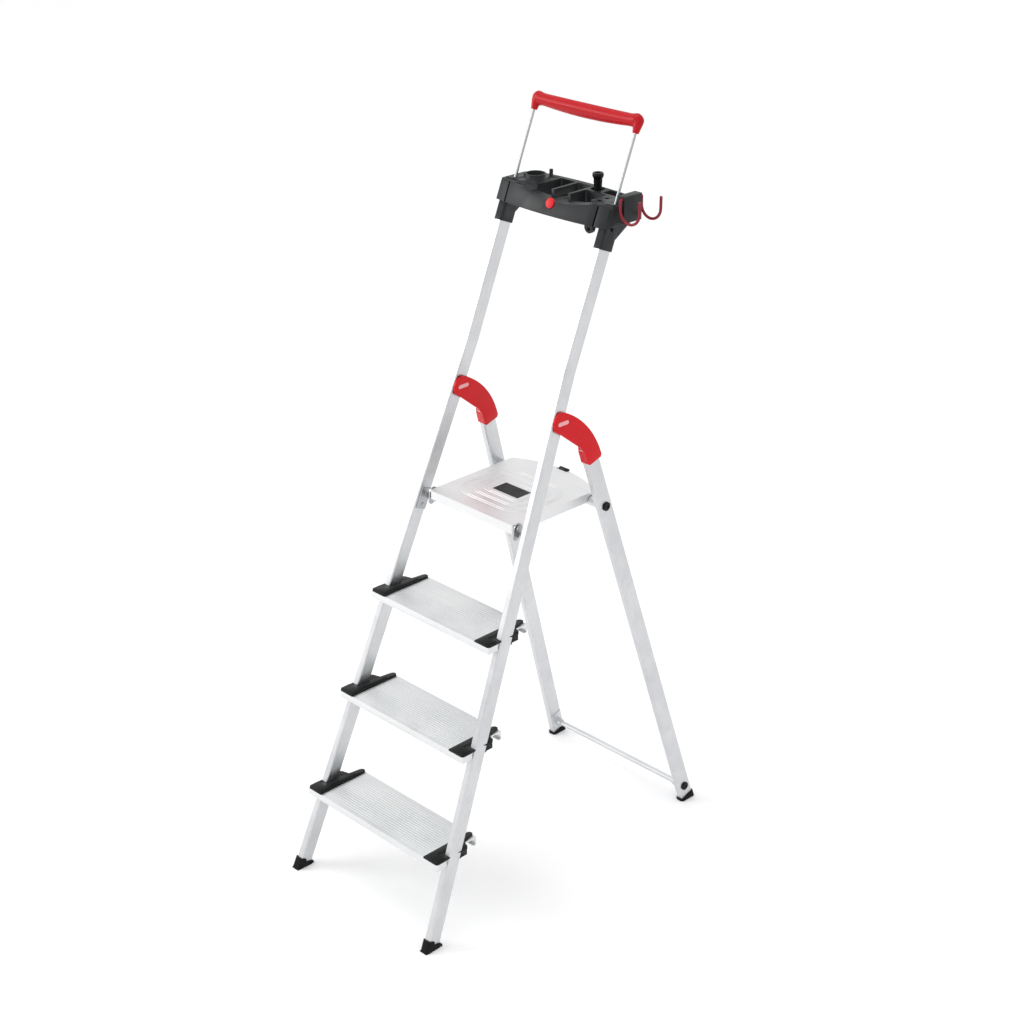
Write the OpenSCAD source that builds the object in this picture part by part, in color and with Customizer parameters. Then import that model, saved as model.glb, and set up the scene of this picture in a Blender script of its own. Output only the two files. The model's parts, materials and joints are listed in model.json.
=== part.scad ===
// Folding step ladder: three treads, a platform, a tool tray and a pull-out handrail.
// +X is the climber's right, the climber faces +Y, +Z is up and Z = 0 is the ground.
// The origin is on the ground, midway between the front edge of the front feet and the
// rear edge of the rear feet.

/* [Frame] */
// Lean of the stiles from upright, in degrees
lean = 22.2; // [18:0.1:26]
// Distance between the stile axes at the ground
base_w = 421.4; // [370:1:520]
// Distance between the stile axes above the bend
top_w = 282.7; // [270:1:320]
// Distance along the ground from the stile axis to the rear leg axis
base_d = 815; // [700:1:950]
// Height of the first tread above the ground
first_step = 194; // [160:1:235]
// Height from one tread to the next
step_rise = 215.9; // [180:1:262]
// Height of the fold hinge above the platform
hinge_rise = 204.5; // [170:1:250]
// Height of the bend in the stiles above the fold hinge
kink_rise = 93; // [78:1:112]
// Height of the stile ends above the bend
mast_rise = 309; // [258:1:371]

/* [Profiles] */
// Width of a stile across the ladder
stile_w = 16; // [14:0.5:19.5]
// Depth of a stile from front to back
stile_d = 33; // [27.5:0.5:40]
// Width of a rear leg across the ladder
leg_w = 15; // [12.5:0.5:18]
// Depth of a rear leg from front to back
leg_d = 36; // [30:0.5:40]
// Wall thickness of stiles and legs
tube_wall = 1.6; // [1.3:0.1:2.2]
// Outer diameter of the cross tube that carries the platform
cross_d = 22; // [18:0.5:24]

/* [Treads] */
// Depth of a tread from front to back
tread_d = 130; // [108:1:156]
// How far a tread's front edge stands ahead of the stile axis
tread_lead = 53; // [44:1:58]
// Height of the tread's front band
nosing_h = 16; // [13:0.5:19]
// Width of an end cap on top of the tread
cap_w = 41.6; // [36:0.5:50]
// Thickness of an end cap above the tread
cap_t = 3.5; // [2.9:0.1:4.2]

/* [Platform] */
// Width of the platform deck
deck_w = 250; // [208:1:254]
// Depth of the deck at its sides
deck_d = 246; // [225:1:295]
// How far the middle of the deck's rear edge bows out past its corners
deck_bow = 35; // [29:1:42]
// Height of the deck and its skirt
deck_h = 20; // [17:0.5:22]

/* [Hinges] */
// Radius of the hinge housing's nose
nose_r = 23; // [21:0.5:28]
// How far the rear leg axis lies behind the hinge pin
leg_set = 57; // [54:0.5:66]
// Thickness of a hinge housing cheek
cheek_t = 5; // [4:0.1:6]
// Diameter of a hinge pin
pin_d = 8; // [6.6:0.1:9.6]

/* [Tray] */
// Depth of the tray behind its front panel
tray_d = 98; // [88:1:118]
// Height of the tray's front panel
panel_h = 41; // [35:1:48]
// Diameter of the wire hook
wire_d = 6; // [5:0.1:7.2]
// Height of the reel post above the tray floor
post_h = 60; // [50:1:72]

/* [Handrail] */
// Diameter of a handrail rod
rod_d = 6; // [5:0.1:7.2]
// How far the handrail slides down into the stiles
rail_travel = 130; // [108:1:150]
// Length of the grip
grip_l = 304; // [300:1:340]
// Thickness of the grip at its middle
grip_t = 31; // [25.5:0.5:37.5]

/* [Hidden] */

$fn = 48;
eps = 0.01;

// Clearances
fit = 0.1;        // a pin or rod in its bore
seat = 0.3;       // a moulding around a tube
swing = 1.5;      // a cheek beside a stile that it turns on

// Heights and the ladder's side geometry, with Y = 0 at the stile axis on the ground
platform_z = first_step + 3 * step_rise;
hinge_z = platform_z + hinge_rise;
kink_z = hinge_z + kink_rise;
mast_z = kink_z + mast_rise;
splay = atan((base_w - top_w) / 2 * cos(lean) / kink_z);
hinge_set = 5;
hinge_y = hinge_z * tan(lean) + hinge_set / cos(lean);
reach = base_d - hinge_y;
rear_lean = acos(leg_set / norm([hinge_z, reach])) - atan(hinge_z / reach);
fold = lean + rear_lean;
leg_run = (hinge_z + leg_set * sin(rear_lean)) / cos(rear_lean);
foot_wall = 3.2;
sole_t = 4;
heel = 4;
corner_r = 3;
front_edge = -(stile_d / 2 + foot_wall) / cos(lean);
rear_edge = base_d + (leg_d / 2 + foot_wall) / cos(rear_lean);
y_mid = (front_edge + rear_edge) / 2;

function stile_y(z) = z * tan(lean);
function half_w(z) = z < kink_z ? base_w / 2 - z * tan(splay) / cos(lean) : top_w / 2;
hinge_x = half_w(hinge_z);

// Treads
tread_skin = 2.5;
tread_back_h = 20;
end_t = 1.5;
flange_t = 2.5;
cap_over = 0.8;
rivet_r = 2.4;
cap_seat = 0.4;
bump_l = 22;

// Platform
deck_skin = 2;
deck_front = stile_y(platform_z) - stile_d / 2 / cos(lean);
deck_rear = deck_front + deck_d + deck_bow;
bow_r = (pow(deck_w / 2, 2) + pow(deck_bow, 2)) / 2 / deck_bow;
pivot_z = platform_z - deck_h / 2;
pivot_y = stile_y(pivot_z);
pivot_r = 4;
lift = 90 - lean;
tube_drop = 18.5;
tube_run = (hinge_rise + tube_drop + leg_set * sin(rear_lean)) / cos(rear_lean);
tube_y = hinge_y + tube_run * sin(rear_lean) + leg_set * cos(rear_lean);
tube_z = hinge_z - tube_run * cos(rear_lean) + leg_set * sin(rear_lean);
tube_gap = 1;
ear_t = 3;
ear_gap = 1;
ear_x = deck_w / 2 + ear_gap;

// The cross tube leaves the deck's hooks in this direction as the ladder folds
rate = lift / fold;
leave_y = -(hinge_z - tube_z) - rate * (pivot_z - tube_z);
leave_z = -(tube_y - hinge_y) - rate * (tube_y - pivot_y);
leave = atan(leave_y / leave_z);

// Latch
latch_y = tube_y + 27;
latch_z = tube_z + 7;
latch_w = 26;
latch_pin_r = 2;

// Tray
socket_wall = 3;
socket_l = 75;
tray_wall = 3;
rim_z = mast_z + 18;
floor_z = rim_z - 38;
panel_front = stile_d / 2 + socket_wall + 6;
panel_bow = 5;
panel_swell = 12;
dip = 13;
dip_w = 112;
tray_half = top_w / 2 + 16;
tray_front = stile_y(rim_z) - 24;
tray_rear = tray_front + tray_d;
badge_r = 11;
badge_x = 6;
badge_front = panel_front + 12;
post_x = 42;
post_y = tray_rear - 19;
block_l = 52;
block_mid = tray_front + 42;
hook_x = tray_half + 9.6;
hook_y = block_mid - block_l / 2 - wire_d / 2 - 2.5;
hook_z = rim_z + 15;
bowl_r = 25.5;
bowl_z = hook_z - 19;
bowl_tip = 25;

// Handrail
rod_x = top_w / 2;
rod_foot = (mast_z - 42) / cos(lean);
rail_z = rim_z + rail_travel * cos(lean) + 12;
grip_z = rail_z + 24;
stub_r = 8;

/* Shared shapes */

function arc(cx, cy, r, a0, a1, n) =
  [for (i = [0:n]) let (a = a0 + (a1 - a0) * i / n) [cx + r * cos(a), cy + r * sin(a)]];

function box_ring(w, d, r, n = 5) = concat(
  arc(w / 2 - r, d / 2 - r, r, 0, 90, n), arc(r - w / 2, d / 2 - r, r, 90, 180, n),
  arc(r - w / 2, r - d / 2, r, 180, 270, n), arc(w / 2 - r, r - d / 2, r, 270, 360, n));

// A rounded rectangular bar along +Z
module bar(w, d, r, z0, z1) {
  translate([0, 0, z0]) linear_extrude(z1 - z0) polygon(box_ring(w, d, r));
}

// A YZ outline extruded across X from x0 to x1
module across(x0, x1, points) {
  translate([x0, 0, 0]) rotate([90, 0, 90]) linear_extrude(x1 - x0) polygon(points);
}

// A cylinder along X
module rod_x(x0, x1, r) {
  translate([x0, 0, 0]) rotate([0, 90, 0]) cylinder(r = r, h = x1 - x0);
}

module side(s) {
  if (s > 0) children();
  else mirror([1, 0, 0]) children();
}

module both() {
  children();
  mirror([1, 0, 0]) children();
}

module placed() {
  translate([0, -y_mid, 0]) children();
}

// Right-hand frames: local Z runs up along the piece, local Y points backwards
module stile_axis() {
  translate([base_w / 2, 0, 0]) rotate([-lean, 0, 0]) rotate([0, -splay, 0]) children();
}

module mast_axis() {
  translate([top_w / 2, 0, 0]) rotate([-lean, 0, 0]) children();
}

module leg_axis() {
  translate([hinge_x, hinge_y, hinge_z]) rotate([rear_lean, 0, 0]) rotate([0, -splay, 0])
    children();
}

module above(z) {
  translate([-500, -500, z]) cube([1000, 2000, 2500]);
}

/* Front frame */

// Everything on one side of the mitre plane at the bend
module mitre(up) {
  translate([top_w / 2, stile_y(kink_z), kink_z]) rotate([-lean, 0, 0])
    rotate([0, -splay / 2, 0]) translate([-100, -100, up ? 0 : -1500]) cube([200, 200, 1500]);
}

module stile_bar(grow) {
  w = stile_w + 2 * grow;
  d = stile_d + 2 * grow;
  intersection() {
    stile_axis() bar(w, d, corner_r + grow, -40, kink_z / cos(lean) + 60);
    mitre(false);
  }
  intersection() {
    mast_axis() bar(w, d, corner_r + grow, kink_z / cos(lean) - 60, mast_z / cos(lean));
    mitre(true);
  }
}

// The outside of the lower stile, used to notch what fits around it
module stile_core(grow) {
  stile_axis() bar(stile_w + 2 * grow, stile_d + 2 * grow, corner_r + grow, -40,
                   kink_z / cos(lean));
}

module tread_frame(i) {
  z = first_step + i * step_rise;
  translate([half_w(z), stile_y(z), z]) children();
}

rivet_z = -nosing_h - 7;
rivet_y = -stile_d / 2 + 1;

module cap_rivet_axes(r, x0, x1) {
  for (i = [0:2]) tread_frame(i) translate([0, rivet_y, rivet_z]) rod_x(x0, x1, r);
}

module bracket_rivet_axes(r, x0, x1) {
  stile_axis() for (z = [pivot_z - 30, pivot_z - 6])
    translate([0, 2, z / cos(lean)]) rod_x(x0, x1, r);
}

module stile() {
  difference() {
    intersection() {
      stile_bar(0);
      above(sole_t);
    }
    difference() {
      stile_bar(-tube_wall);
      above(mast_z + 50);
    }
    mast_axis() bar(stile_w - 2 * tube_wall, stile_d - 2 * tube_wall, corner_r - tube_wall,
                    mast_z / cos(lean) - 20, mast_z / cos(lean) + 1);
    translate([hinge_x, hinge_y, hinge_z]) rod_x(-stile_w, stile_w, pin_d / 2 + fit);
    cap_rivet_axes(rivet_r, -stile_w, 0);
    bracket_rivet_axes(rivet_r, -stile_w, 0);
    mast_axis() translate([0, 0, screw_run]) rod_x(0, stile_w, screw_r);
  }
}

// Hollow rolled section of a tread, as a YZ outline with its top at Z = 0
module tread_section() {
  translate([-tread_lead, -tread_skin]) square([tread_d, tread_skin]);
  translate([-tread_lead, -nosing_h]) square([3, nosing_h]);
  translate([-tread_lead, -nosing_h]) square([9, 2]);
  translate([tread_d - tread_lead - tread_skin, -tread_back_h]) square([tread_skin, tread_back_h]);
  translate([tread_d - tread_lead - 9, -tread_back_h]) square([9, 2]);
  for (y = [tread_d / 3, tread_d * 2 / 3])
    translate([y - tread_lead, -11]) square([2, 11]);
}

module tread(i) {
  z = first_step + i * step_rise;
  inner = half_w(z) - stile_w / 2 - flange_t - 0.5;
  outer = half_w(z) + stile_w / 2;
  difference() {
    translate([0, stile_y(z), z]) union() {
      translate([-inner, 0, 0]) rotate([90, 0, 90]) linear_extrude(2 * inner) tread_section();
      intersection() {
        translate([-outer, 0, 0]) rotate([90, 0, 90]) linear_extrude(2 * outer) tread_section();
        translate([-outer, -tread_lead, -nosing_h]) cube([2 * outer, 30, nosing_h]);
      }
      // plates that close the ends of the front band
      both() translate([outer - end_t, -tread_lead, -nosing_h]) cube([end_t, 27, nosing_h]);
    }
    both() stile_core(seat);
    // the end caps sit a little below the standing face
    both() tread_frame(i) translate([0, 0, -cap_seat]) linear_extrude(5) polygon(cap_plan(0.3));
  }
}

// The plan of an end cap, measured from the stile axis at the tread's top
function cap_plan(grow = 0) = [
  [stile_w / 2 + cap_over - cap_w - grow, -tread_lead - cap_over - grow],
  [stile_w / 2 + cap_over - 5 + grow, -tread_lead - cap_over - grow],
  [stile_w / 2 + cap_over + grow, -tread_lead - cap_over + 5 - grow],
  [stile_w / 2 + cap_over + grow, -stile_d / 2 - 9],
  [stile_w / 2 + grow, -stile_d / 2 - 7],
  [stile_w / 2 + grow, stile_d / 2 + bump_l - 5],
  [stile_w / 2 - 5 + grow, stile_d / 2 + bump_l + grow],
  [-stile_w / 2 - 6 + grow, stile_d / 2 + bump_l + 5 + grow],
  [-stile_w / 2 - 12 + grow, tread_d - tread_lead - 2],
  [-stile_w / 2 - 15 + grow, tread_d - tread_lead + cap_over + grow],
  [stile_w / 2 + cap_over - cap_w + 4 - grow, tread_d - tread_lead + cap_over + grow],
  [stile_w / 2 + cap_over - cap_w - grow, tread_d - tread_lead - 3]
];

module cap(i) {
  difference() {
    tread_frame(i) {
      translate([0, 0, -cap_seat]) linear_extrude(cap_t + cap_seat) polygon(cap_plan());
      translate([-stile_w / 2 - flange_t, -stile_d / 2 - 6, rivet_z - 6])
        cube([flange_t, 20 + stile_d, 6 - rivet_z + eps]);
      translate([-stile_w / 2 - flange_t, stile_d / 2 - 8, -14])
        cube([stile_w + flange_t - 1, bump_l + 3, 14 + eps]);
      translate([stile_w / 2 + 4 - cap_w + 3, -tread_lead + 4, cap_t - eps])
        cube([cap_w - 12, 22, 1]);
      translate([stile_w / 2 + 4 - cap_w + 3, -tread_lead + 26 - eps, cap_t - eps])
        cube([9, 78, 1]);
    }
    stile_core(seat);
    cap_rivet_axes(rivet_r, -stile_w, 0);
  }
}

module rivets_at_caps() {
  cap_rivet_axes(rivet_r, -stile_w / 2 - flange_t - 0.5, -stile_w / 2 + 4);
  for (i = [0:2]) tread_frame(i)
    translate([-stile_w / 2 - flange_t - 2, rivet_y, rivet_z])
      rotate([0, 90, 0]) cylinder(r1 = 2.8, r2 = 4.4, h = 2);
}

module front_foot() {
  difference() {
    intersection() {
      union() {
        stile_axis() bar(stile_w + 2 * foot_wall, stile_d + 2 * foot_wall,
                         corner_r + foot_wall, -40, 13);
        intersection() {
          stile_axis() bar(stile_w + 2 * foot_wall, stile_d + 2 * foot_wall,
                           corner_r + foot_wall, -40, 20);
          stile_axis() translate([-50, -60, -50]) cube([100, 56, 100]);
        }
        across(base_w / 2 - stile_w / 2 - foot_wall + 0.8, base_w / 2 + stile_w / 2 + foot_wall - 0.8,
               [[front_edge, 0], [heel - front_edge, 0], [heel - front_edge - 1.5, 6],
                [-front_edge - 5, 10], [0, 10]]);
      }
      above(0);
    }
    intersection() {
      stile_core(fit);
      above(sole_t);
    }
    for (y = [-12:8:28]) translate([base_w / 2 - 30, y, -eps]) cube([60, 2, 1.2]);
  }
}

module platform_bracket() {
  low = pivot_z - 25;
  difference() {
    union() {
      across(ear_x, ear_x + ear_t, concat(
        arc(pivot_y, pivot_z, 12, 0, 180, 16),
        [[stile_y(low) - 4, low + 6], [stile_y(low), low], [stile_y(low) + 8, low]]));
      translate([ear_x, pivot_y + 4, low + 1]) cube([half_w(low) - ear_x, ear_t, 13]);
      stile_axis() translate([-stile_w / 2 - ear_t, -12, (pivot_z - 40) / cos(lean)])
        cube([ear_t, 26, 48]);
    }
    stile_core(0);
    translate([0, pivot_y, pivot_z]) rod_x(ear_x - 1, ear_x + ear_t + 1, pivot_r + fit);
    bracket_rivet_axes(rivet_r, -stile_w, 0);
  }
}

module rivets_at_brackets() {
  bracket_rivet_axes(rivet_r, -stile_w / 2 - ear_t - 0.5, -stile_w / 2 + 4);
  bracket_rivet_axes(4.4, -stile_w / 2 - ear_t - 2, -stile_w / 2 - ear_t);
}

/* Tray */

screw_r = 2;
screw_run = (mast_z - 30) / cos(lean);

// Plan of the tray: straight front, rounded corners and a bowed rear edge
function tray_plan(inset) = let (
    half = tray_half - inset,
    rear = tray_rear - inset,
    r = 30 - inset)
  concat(
    [[-half, tray_front + inset], [half, tray_front + inset]],
    arc(half - r, rear - 10 - r, r, 0, 72, 8),
    arc(0, rear - 900, 900, 90 - 6.6, 90 + 6.6, 8),
    arc(r - half, rear - 10 - r, r, 108, 180, 8));

module tray_pocket(x0, x1, y0, y1, deep) {
  r = 5;
  translate([(x0 + x1) / 2, (y0 + y1) / 2, 0])
    bar(x1 - x0, y1 - y0, r, rim_z - deep, rim_z + 30);
}

module panel_outline() {
  w = 2 * tray_half - 8;
  low = -panel_h / 2 - panel_bow;
  polygon(concat(
    [[-w / 2, panel_h / 2], [w / 2, panel_h / 2], [w / 2, -panel_h / 2]],
    [for (i = [1:11]) let (x = w / 2 - w * i / 12)
      [x, low + panel_bow * pow(2 * x / w, 2)]],
    [[-w / 2, -panel_h / 2]]));
}

panel_run = (rim_z - 31) / cos(lean);

// The front panel also bows forward; this is its front edge seen along the stiles
function panel_crest(x) = panel_swell * (1 - pow(x / tray_half, 2));

module panel() {
  grooves = top_w / 2 - stile_w / 2 - socket_wall - 5;
  intersection() {
    translate([0, -panel_front, panel_run]) rotate([90, 0, 0])
      translate([0, 0, -18]) linear_extrude(18 + panel_swell) panel_outline();
    translate([0, 0, panel_run - 100]) linear_extrude(200) difference() {
      polygon(concat(
        [[tray_half, 40 - panel_front], [-tray_half, 40 - panel_front]],
        [for (i = [0:24]) let (x = tray_half * (i / 12 - 1)) [x, -panel_front - panel_crest(x)]]));
      for (s = [-1, 1]) translate([s * grooves - 2, -panel_front - 20]) square([4, 24]);
    }
  }
}

boss_x = 111;
boss_z = rim_z - 46;
cup_x = -96;
cup_y = tray_front + 38;
cup_r = 19;
cup_h = 14;
bin_deep = 34;
bin_front = tray_front + 9;

module tray() {
  difference() {
    union() {
      translate([0, 0, floor_z]) linear_extrude(rim_z - floor_z) polygon(tray_plan(0));
      rotate([-lean, 0, 0]) panel();
      both() mast_axis() bar(stile_w + 2 * socket_wall, stile_d + 2 * socket_wall, corner_r + 2,
                             mast_z / cos(lean) - socket_l, rim_z / cos(lean) - 4);
      // ribs under the floor behind the sockets
      both() across(rod_x - 8, rod_x + 8, [
        [stile_y(mast_z - socket_l + 20) + 14, mast_z - socket_l + 16],
        [stile_y(mast_z) + 16, floor_z + 1], [tray_rear - 32, floor_z + 1],
        [tray_rear - 32, floor_z - 3]]);
      // block on the right side wall that carries the wire hook
      translate([tray_half - 4, block_mid - block_l / 2, rim_z - 34])
        cube([4 + hook_x - tray_half + 5.5, block_l, hook_z - rim_z + 34 + 5.5]);
      // round boss that hangs behind the lower edge of the front panel
      translate([boss_x, stile_y(boss_z) - 22, boss_z]) rotate([90, 0, 0])
        cylinder(r = 12, h = 8, center = true);
      // raised ring of the round cup, and the pegs
      translate([cup_x, cup_y, floor_z]) cylinder(r = cup_r + 2.5, h = rim_z - floor_z + cup_h);
      translate([cup_x + 4, tray_rear - 18, floor_z]) cylinder(r = 4, h = rim_z - floor_z + 15);
      translate([cup_x - 32, cup_y + 2, floor_z]) cylinder(r = 4, h = rim_z - floor_z + 8);
    }
    both() mast_axis() bar(stile_w + 2 * fit, stile_d + 2 * fit, corner_r + fit,
                           mast_z / cos(lean) - socket_l - 20, mast_z / cos(lean));
    both() mast_axis() translate([0, 0, mast_z / cos(lean) - 1])
      cylinder(r = rod_d / 2 + fit, h = 80);
    mast_axis() translate([0, 0, screw_run]) rod_x(0, stile_w, screw_r);
    mirror([1, 0, 0]) mast_axis() translate([0, 0, screw_run]) rod_x(0, stile_w, screw_r);
    translate([boss_x, stile_y(boss_z) - 22, boss_z - 3]) rotate([90, 0, 0])
      cylinder(r = 4, h = 60, center = true);
    // the front edge dips between the stiles
    translate([0, tray_front + 12, 0]) rotate([90, 0, 0]) linear_extrude(90) polygon(concat(
      [for (i = [0:16]) let (x = dip_w * (i / 8 - 1)) [x, rim_z - dip * (1 - pow(x / dip_w, 2))]],
      [[dip_w, rim_z + 40], [-dip_w, rim_z + 40]]));
    translate([cup_x, cup_y, floor_z + tray_wall]) cylinder(r = cup_r, h = 80);
    tray_pocket(-66, -24, bin_front, tray_rear - 14, bin_deep);
    tray_pocket(-17, 22, bin_front, tray_rear - 14, 16);
    tray_pocket(29, 87, bin_front, tray_rear - 40, bin_deep);
    tray_pocket(68, 116, tray_rear - 34, tray_rear - 8, bin_deep);
    for (q = [[104, tray_front + 40], [104, tray_front + 18], [124, tray_front + 60]])
      translate([q[0], q[1], rim_z - 24]) cylinder(r = 5, h = 60);
    translate([hook_x, block_mid, hook_z]) rotate([90, 0, 0])
      cylinder(r = wire_d / 2 + fit, h = 200, center = true);
    rotate([-lean, 0, 0]) translate([badge_x, -badge_front, panel_run]) rotate([90, 0, 0])
      cylinder(r = badge_r, h = 3, center = true);
    translate([post_x, post_y, rim_z - 26]) cylinder(r = 15, h = 80);
  }
}

module badge() {
  rotate([-lean, 0, 0]) translate([badge_x, -badge_front, panel_run]) rotate([90, 0, 0])
    translate([0, 0, -1.5]) cylinder(r = badge_r, h = 3.5);
}

module screws() {
  both() mast_axis() translate([0, 0, screw_run]) {
    rod_x(stile_w / 2 - tube_wall, stile_w / 2 + socket_wall + 1, screw_r);
    rod_x(stile_w / 2 + socket_wall, stile_w / 2 + socket_wall + 2, 4);
  }
}

module post() {
  base = rim_z - 26;
  translate([post_x, post_y, base]) rotate_extrude() polygon([
    [0, 0], [14, 0], [14, 4], [11, 8], [8.5, post_h / 2], [9, post_h - 12],
    [12, post_h - 7], [12, post_h - 2], [10.5, post_h], [0, post_h]]);
}

/* Wire hook: two bowls side by side, joined by the bar that turns in the tray's block.
   Each ring is [centre, first radius direction, second radius direction]. */

hook_bend = 5;

function hook_half() = let (
    r = wire_d / 2, y = hook_y, x1 = hook_x + 2 * bowl_r, c = hook_x + bowl_r,
    top = hook_z - hook_bend)
  concat(
    [[[x1, y, bowl_z + bowl_tip], [-1, 0, 0], [0, 1, 0]]],
    [for (i = [0:14]) let (a = 180 * i / 14)
      [[c + bowl_r * cos(a), y, bowl_z - bowl_r * sin(a)], [-cos(a), 0, sin(a)], [0, 1, 0]]],
    [for (i = [0:5]) let (a = 90 * i / 5)
      [[hook_x, y + hook_bend * (1 - cos(a)), top + hook_bend * sin(a)], [1, 0, 0],
       [0, cos(a), -sin(a)]]]);

function across_block(q) = [
  [q[0][0], 2 * block_mid - q[0][1], q[0][2]], [q[1][0], -q[1][1], q[1][2]],
  [q[2][0], -q[2][1], q[2][2]]];

module hook() {
  half = hook_half();
  h = len(half);
  rings = concat(half, [for (i = [1:h]) across_block(half[h - i])]);
  n = 12;
  m = len(rings);
  pts = [for (q = rings, j = [0:n - 1]) let (a = 360 * j / n)
    q[0] + wire_d / 2 * (cos(a) * q[1] + sin(a) * q[2])];
  faces = concat(
    [[for (j = [0:n - 1]) n - 1 - j]],
    [for (i = [0:m - 2], j = [0:n - 1]) let (k = (j + 1) % n)
      [i * n + j, i * n + k, (i + 1) * n + k, (i + 1) * n + j]],
    [[for (j = [0:n - 1]) (m - 1) * n + j]]);
  polyhedron(pts, faces, convexity = 8);
}

/* Rear frame */

module leg_core(grow, top = -97) {
  leg_axis() translate([0, leg_set, 0])
    bar(leg_w + 2 * grow, leg_d + 2 * grow, corner_r + grow, -leg_run - 30, top);
}

module on_tube() {
  translate([0, tube_y, tube_z]) children();
}

bar_run = 40;
crossbar_y = base_d - bar_run * sin(rear_lean);
crossbar_z = bar_run * cos(rear_lean);

module on_crossbar() {
  translate([0, crossbar_y, crossbar_z]) children();
}

bolt_r = 3;
tube_half = half_w(0) - (leg_run - tube_run) * sin(splay);
foot_half = hinge_x + (leg_run - bar_run) * sin(splay);

module leg() {
  difference() {
    intersection() {
      leg_core(0);
      above(sole_t);
    }
    leg_core(-tube_wall, -80);
    on_tube() rod_x(0, base_w, bolt_r);
    on_crossbar() rod_x(0, base_w, bolt_r);
  }
}

// Side outline of a hinge housing's broad cheek, in the leg's frame with the pin at the origin
housing_l = 131;
housing_back = leg_set + leg_d / 2 + 2.5;
housing_front = leg_set - leg_d / 2 - 3;
back_r = (pow(housing_l - 6, 2) + pow(housing_back, 2) - pow(nose_r, 2))
         / 2 / (housing_back - nose_r);
back_c = housing_back - back_r;

function housing_outline() = let (a0 = asin((housing_l - 6) / (back_r - nose_r)))
  concat(
    [for (i = [0:12]) let (a = a0 * i / 12)
      [back_c + back_r * cos(a), back_r * sin(a) - housing_l + 6]],
    arc(0, 0, nose_r, a0, 238, 18),
    arc(housing_front - 62, -housing_l + 22, 62, 40, 0, 8),
    [[housing_front + 1, -housing_l + 3], [housing_front + 4, -housing_l],
     [housing_back - 4, -housing_l], [housing_back, -housing_l + 5]]);

// The core behind the cheek wraps the leg's top and carries it to the cheek's back edge
function core_mask() = [
  [housing_front + 2, -housing_l - 5], [housing_front + 2, -housing_l + 27],
  [housing_front + 5, -housing_l + 41], [housing_front + 4, -housing_l + 62],
  [nose_r - 5, -housing_l + 91], [nose_r - 12, -housing_l + 121], [nose_r - 12, 60],
  [housing_back - 1.2, 60], [housing_back - 1.2, -housing_l - 5]];

// One moulding serves both sides of the ladder: broad is +1 where its cheek is on the
// outside and -1 where it is on the inside
module hinge(broad) {
  half = stile_w / 2 + swing;
  back = stile_d / 2 + swing - hinge_set;
  difference() {
    leg_axis() side(broad) {
      across(half, half + cheek_t, housing_outline());
      difference() {
        intersection() {
          across(-leg_w / 2 - 1.5, half + eps, housing_outline());
          across(-leg_w / 2 - 2, half + 1, core_mask());
        }
        for (i = [0:2]) rotate([-fold * i / 2, 0, 0])
          translate([-half - 1, back - 150, -260]) cube([2 * half + 2, 150, 400]);
      }
    }
    leg_core(0);
    translate([hinge_x, hinge_y, hinge_z]) rod_x(-50, 50, pin_d / 2);
  }
}

// A pin reaches from the cheek through the stile to its own head on the far side
module hinge_pin(broad) {
  near = stile_w / 2 + swing + cheek_t - 1;
  far = stile_w / 2 + 0.6;
  translate([hinge_x, hinge_y, hinge_z]) side(broad) {
    rod_x(-far - 2.5, near, pin_d / 2);
    rod_x(-far - 2.5, -far, pin_d / 2 + 2.5);
  }
}

tube_bolt_x = hinge_x + tube_run * sin(splay);

module cross_tube() {
  difference() {
    on_tube() rod_x(-tube_bolt_x, tube_bolt_x, cross_d / 2);
    both() leg_core(0);
    on_tube() rod_x(30 - tube_bolt_x, tube_bolt_x - 30, cross_d / 2 - 1.5);
    on_tube() rod_x(-base_w, base_w, bolt_r);
  }
}

module bolt_at(half) {
  rod_x(half - 30, half + leg_w / 2 + 1, bolt_r);
  translate([half + leg_w / 2 + 0.6, 0, 0]) rotate([0, 90, 0]) {
    cylinder(r1 = 10, r2 = 8.5, h = 3.4);
  }
}

module bolts_at_tube() {
  both() on_tube() bolt_at(tube_bolt_x);
}

module bolts_at_crossbar() {
  both() on_crossbar() bolt_at(foot_half);
}

bar_w = 9.5;
bar_d = 10.5;

module crossbar() {
  difference() {
    on_crossbar() rotate([rear_lean, 0, 0]) rotate([0, 90, 0]) bar(bar_w, bar_d, 2.5, -foot_half, foot_half);
    both() leg_core(0);
    on_crossbar() rotate([rear_lean, 0, 0]) rotate([0, 90, 0]) bar(bar_w - 3, bar_d - 3, 1.2, -170, 170);
    on_crossbar() rod_x(-base_w, base_w, bolt_r);
  }
}

module crossbar_bracket() {
  difference() {
    union() {
      leg_axis() translate([-leg_w / 2 - 2.5, leg_set - 15, -leg_run + bar_run - 18])
        cube([2.5, 30, 42]);
      on_crossbar() rotate([rear_lean, 0, 0]) rotate([0, 90, 0])
        bar(bar_w + 5, bar_d + 5, 3, foot_half - 24, foot_half - 2);
    }
    leg_core(0);
    on_crossbar() rotate([rear_lean, 0, 0]) rotate([0, 90, 0]) bar(bar_w, bar_d, 2.5, 0, foot_half + 5);
    on_crossbar() rod_x(-base_w, base_w, bolt_r);
  }
}

module rear_foot() {
  difference() {
    intersection() {
      union() {
        leg_axis() translate([0, leg_set, 0])
          bar(leg_w + 2 * foot_wall, leg_d + 2 * foot_wall, corner_r + foot_wall,
              -leg_run - 40, -leg_run + 9);
      }
      above(0);
    }
    intersection() {
      leg_core(fit);
      above(sole_t);
    }
    for (y = [-16:8:16]) translate([base_w / 2 - 30, base_d + y, -eps]) cube([60, 2, 1.2]);
  }
}

/* Platform */

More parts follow.
